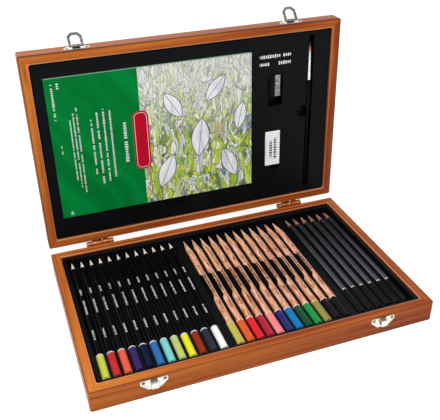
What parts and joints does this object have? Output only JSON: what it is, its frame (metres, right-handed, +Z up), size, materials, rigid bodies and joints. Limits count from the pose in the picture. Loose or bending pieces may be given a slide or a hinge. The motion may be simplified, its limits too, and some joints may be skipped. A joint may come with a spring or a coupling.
{
  "type": "hinged pencil box",
  "caption": "Open wooden box with a hinged lid, hook catches and moulded trays holding pencils, a drawing pad, brush, eraser and sharpener.",
  "frame": {"origin": "middle of the base's underside", "axes": "+Z up, +Y towards the hinges, +X to the right seen from the front"},
  "size_m": [0.328, 0.2385, 0.2454],
  "materials": {
    "case_wood": "stained and lacquered, satin",
    "tray_plastic": "fine matt, vacuum formed",
    "fittings_nickel": "nickel plated",
    "pencil_black_lacquer": "gloss lacquer",
    "pencil_natural_wood": "clear lacquer",
    "pencil_graphite_grey": "satin lacquer",
    "pad_card": "printed card",
    "pad_paper": "uncoated paper",
    "sharpener_black": "moulded",
    "blade_steel": "ground",
    "eraser_vinyl": "matt",
    "brush_lacquer": "gloss lacquer",
    "ferrule_metal": "polished",
    "bristle_hair": "soft hair"
  },
  "bodies": {
    "base": {"base_front_rail": "case_wood", "base_back_rail": "case_wood", "base_left_rail": "case_wood", "base_right_rail": "case_wood", "base_bottom_panel": "case_wood", "base_tray": "tray_plastic", "hinge_base_leaves": "fittings_nickel", "hinge_pins": "fittings_nickel", "keeper_plates": "fittings_nickel", "base_nails": "fittings_nickel"},
    "lid": {"lid_front_rail": "case_wood", "lid_back_rail": "case_wood", "lid_left_rail": "case_wood", "lid_right_rail": "case_wood", "lid_top_panel": "case_wood", "lid_tray": "tray_plastic", "hinge_lid_leaves": "fittings_nickel", "catch_plates": "fittings_nickel", "lid_nails": "fittings_nickel"},
    "left_catch": {"left_catch_loop": "fittings_nickel"},
    "right_catch": {"right_catch_loop": "fittings_nickel"},
    "drawing_pad": {"pad_cover": "pad_card", "pad_sheets": "pad_paper"},
    "sharpener": {"sharpener_body": "sharpener_black", "sharpener_blade": "blade_steel", "sharpener_screw": "blade_steel"},
    "eraser_block": {"eraser": "eraser_vinyl"},
    "brush": {"brush_handle": "brush_lacquer", "brush_ferrule": "ferrule_metal", "brush_bristles": "bristle_hair"},
    "colour_pencil_01": {"colour_pencil_01": "pencil_black_lacquer"},
    "colour_pencil_02": {"colour_pencil_02": "pencil_black_lacquer"},
    "colour_pencil_03": {"colour_pencil_03": "pencil_black_lacquer"},
    "colour_pencil_04": {"colour_pencil_04": "pencil_black_lacquer"},
    "colour_pencil_05": {"colour_pencil_05": "pencil_black_lacquer"},
    "colour_pencil_06": {"colour_pencil_06": "pencil_black_lacquer"},
    "colour_pencil_07": {"colour_pencil_07": "pencil_black_lacquer"},
    "colour_pencil_08": {"colour_pencil_08": "pencil_black_lacquer"},
    "colour_pencil_09": {"colour_pencil_09": "pencil_black_lacquer"},
    "colour_pencil_10": {"colour_pencil_10": "pencil_black_lacquer"},
    "colour_pencil_11": {"colour_pencil_11": "pencil_black_lacquer"},
    "colour_pencil_12": {"colour_pencil_12": "pencil_black_lacquer"},
    "watercolour_pencil_01": {"watercolour_pencil_01": "pencil_natural_wood"},
    "watercolour_pencil_02": {"watercolour_pencil_02": "pencil_natural_wood"},
    "watercolour_pencil_03": {"watercolour_pencil_03": "pencil_natural_wood"},
    "watercolour_pencil_04": {"watercolour_pencil_04": "pencil_natural_wood"},
    "watercolour_pencil_05": {"watercolour_pencil_05": "pencil_natural_wood"},
    "watercolour_pencil_06": {"watercolour_pencil_06": "pencil_natural_wood"},
    "watercolour_pencil_07": {"watercolour_pencil_07": "pencil_natural_wood"},
    "watercolour_pencil_08": {"watercolour_pencil_08": "pencil_natural_wood"},
    "watercolour_pencil_09": {"watercolour_pencil_09": "pencil_natural_wood"},
    "watercolour_pencil_10": {"watercolour_pencil_10": "pencil_natural_wood"},
    "watercolour_pencil_11": {"watercolour_pencil_11": "pencil_natural_wood"},
    "watercolour_pencil_12": {"watercolour_pencil_12": "pencil_natural_wood"},
    "sketching_pencil_01": {"sketching_pencil_01": "pencil_graphite_grey"},
    "sketching_pencil_02": {"sketching_pencil_02": "pencil_graphite_grey"},
    "sketching_pencil_03": {"sketching_pencil_03": "pencil_graphite_grey"},
    "sketching_pencil_04": {"sketching_pencil_04": "pencil_graphite_grey"},
    "sketching_pencil_05": {"sketching_pencil_05": "pencil_graphite_grey"},
    "sketching_pencil_06": {"sketching_pencil_06": "pencil_graphite_grey"}
  },
  "joints": [
    {"name": "box_lid_hinge", "type": "hinge", "parent": "base", "child": "lid", "pos_m": [0, 0.1066, 0.022], "axis": [-1, 0, 0], "range_deg": [-92, 0]},
    {"name": "catch_left_loop_swing", "type": "hinge", "parent": "lid", "child": "left_catch", "pos_m": [-0.109, 0.11821, 0.23412], "axis": [-1, 0, 0], "range_deg": [-142, 33]},
    {"name": "catch_right_loop_swing", "type": "hinge", "parent": "lid", "child": "right_catch", "pos_m": [0.109, 0.11821, 0.23412], "axis": [-1, 0, 0], "range_deg": [-131, 44]},
    {"name": "drawing_pad_lift_out", "type": "slide", "parent": "lid", "child": "drawing_pad", "axis": [0, -0.9994, 0.0349], "range_m": [0, 0.03]},
    {"name": "eraser_lift_out", "type": "slide", "parent": "lid", "child": "eraser_block", "axis": [0, -0.9994, 0.0349], "range_m": [0, 0.03]},
    {"name": "sharpener_lift_out", "type": "slide", "parent": "lid", "child": "sharpener", "axis": [0, -0.9994, 0.0349], "range_m": [0, 0.03]},
    {"name": "brush_lift_out", "type": "slide", "parent": "lid", "child": "brush", "axis": [0, -0.9994, 0.0349], "range_m": [0, 0.03]},
    {"name": "colour_pencil_01_lift_out", "type": "slide", "parent": "base", "child": "colour_pencil_01", "axis": [0, 0, 1], "range_m": [0, 0.03]},
    {"name": "colour_pencil_02_lift_out", "type": "slide", "parent": "base", "child": "colour_pencil_02", "axis": [0, 0, 1], "range_m": [0, 0.03]},
    {"name": "colour_pencil_03_lift_out", "type": "slide", "parent": "base", "child": "colour_pencil_03", "axis": [0, 0, 1], "range_m": [0, 0.03]},
    {"name": "colour_pencil_04_lift_out", "type": "slide", "parent": "base", "child": "colour_pencil_04", "axis": [0, 0, 1], "range_m": [0, 0.03]},
    {"name": "colour_pencil_05_lift_out", "type": "slide", "parent": "base", "child": "colour_pencil_05", "axis": [0, 0, 1], "range_m": [0, 0.03]},
    {"name": "colour_pencil_06_lift_out", "type": "slide", "parent": "base", "child": "colour_pencil_06", "axis": [0, 0, 1], "range_m": [0, 0.03]},
    {"name": "colour_pencil_07_lift_out", "type": "slide", "parent": "base", "child": "colour_pencil_07", "axis": [0, 0, 1], "range_m": [0, 0.03]},
    {"name": "colour_pencil_08_lift_out", "type": "slide", "parent": "base", "child": "colour_pencil_08", "axis": [0, 0, 1], "range_m": [0, 0.03]},
    {"name": "colour_pencil_09_lift_out", "type": "slide", "parent": "base", "child": "colour_pencil_09", "axis": [0, 0, 1], "range_m": [0, 0.03]},
    {"name": "colour_pencil_10_lift_out", "type": "slide", "parent": "base", "child": "colour_pencil_10", "axis": [0, 0, 1], "range_m": [0, 0.03]},
    {"name": "colour_pencil_11_lift_out", "type": "slide", "parent": "base", "child": "colour_pencil_11", "axis": [0, 0, 1], "range_m": [0, 0.03]},
    {"name": "colour_pencil_12_lift_out", "type": "slide", "parent": "base", "child": "colour_pencil_12", "axis": [0, 0, 1], "range_m": [0, 0.03]},
    {"name": "watercolour_pencil_01_lift_out", "type": "slide", "parent": "base", "child": "watercolour_pencil_01", "axis": [0, 0, 1], "range_m": [0, 0.03]},
    {"name": "watercolour_pencil_02_lift_out", "type": "slide", "parent": "base", "child": "watercolour_pencil_02", "axis": [0, 0, 1], "range_m": [0, 0.03]},
    {"name": "watercolour_pencil_03_lift_out", "type": "slide", "parent": "base", "child": "watercolour_pencil_03", "axis": [0, 0, 1], "range_m": [0, 0.03]},
    {"name": "watercolour_pencil_04_lift_out", "type": "slide", "parent": "base", "child": "watercolour_pencil_04", "axis": [0, 0, 1], "range_m": [0, 0.03]},
    {"name": "watercolour_pencil_05_lift_out", "type": "slide", "parent": "base", "child": "watercolour_pencil_05", "axis": [0, 0, 1], "range_m": [0, 0.03]},
    {"name": "watercolour_pencil_06_lift_out", "type": "slide", "parent": "base", "child": "watercolour_pencil_06", "axis": [0, 0, 1], "range_m": [0, 0.03]},
    {"name": "watercolour_pencil_07_lift_out", "type": "slide", "parent": "base", "child": "watercolour_pencil_07", "axis": [0, 0, 1], "range_m": [0, 0.03]},
    {"name": "watercolour_pencil_08_lift_out", "type": "slide", "parent": "base", "child": "watercolour_pencil_08", "axis": [0, 0, 1], "range_m": [0, 0.03]},
    {"name": "watercolour_pencil_09_lift_out", "type": "slide", "parent": "base", "child": "watercolour_pencil_09", "axis": [0, 0, 1], "range_m": [0, 0.03]},
    {"name": "watercolour_pencil_10_lift_out", "type": "slide", "parent": "base", "child": "watercolour_pencil_10", "axis": [0, 0, 1], "range_m": [0, 0.03]},
    {"name": "watercolour_pencil_11_lift_out", "type": "slide", "parent": "base", "child": "watercolour_pencil_11", "axis": [0, 0, 1], "range_m": [0, 0.03]},
    {"name": "watercolour_pencil_12_lift_out", "type": "slide", "parent": "base", "child": "watercolour_pencil_12", "axis": [0, 0, 1], "range_m": [0, 0.03]},
    {"name": "sketching_pencil_01_lift_out", "type": "slide", "parent": "base", "child": "sketching_pencil_01", "axis": [0, 0, 1], "range_m": [0, 0.03]},
    {"name": "sketching_pencil_02_lift_out", "type": "slide", "parent": "base", "child": "sketching_pencil_02", "axis": [0, 0, 1], "range_m": [0, 0.03]},
    {"name": "sketching_pencil_03_lift_out", "type": "slide", "parent": "base", "child": "sketching_pencil_03", "axis": [0, 0, 1], "range_m": [0, 0.03]},
    {"name": "sketching_pencil_04_lift_out", "type": "slide", "parent": "base", "child": "sketching_pencil_04", "axis": [0, 0, 1], "range_m": [0, 0.03]},
    {"name": "sketching_pencil_05_lift_out", "type": "slide", "parent": "base", "child": "sketching_pencil_05", "axis": [0, 0, 1], "range_m": [0, 0.03]},
    {"name": "sketching_pencil_06_lift_out", "type": "slide", "parent": "base", "child": "sketching_pencil_06", "axis": [0, 0, 1], "range_m": [0, 0.03]}
  ]
}
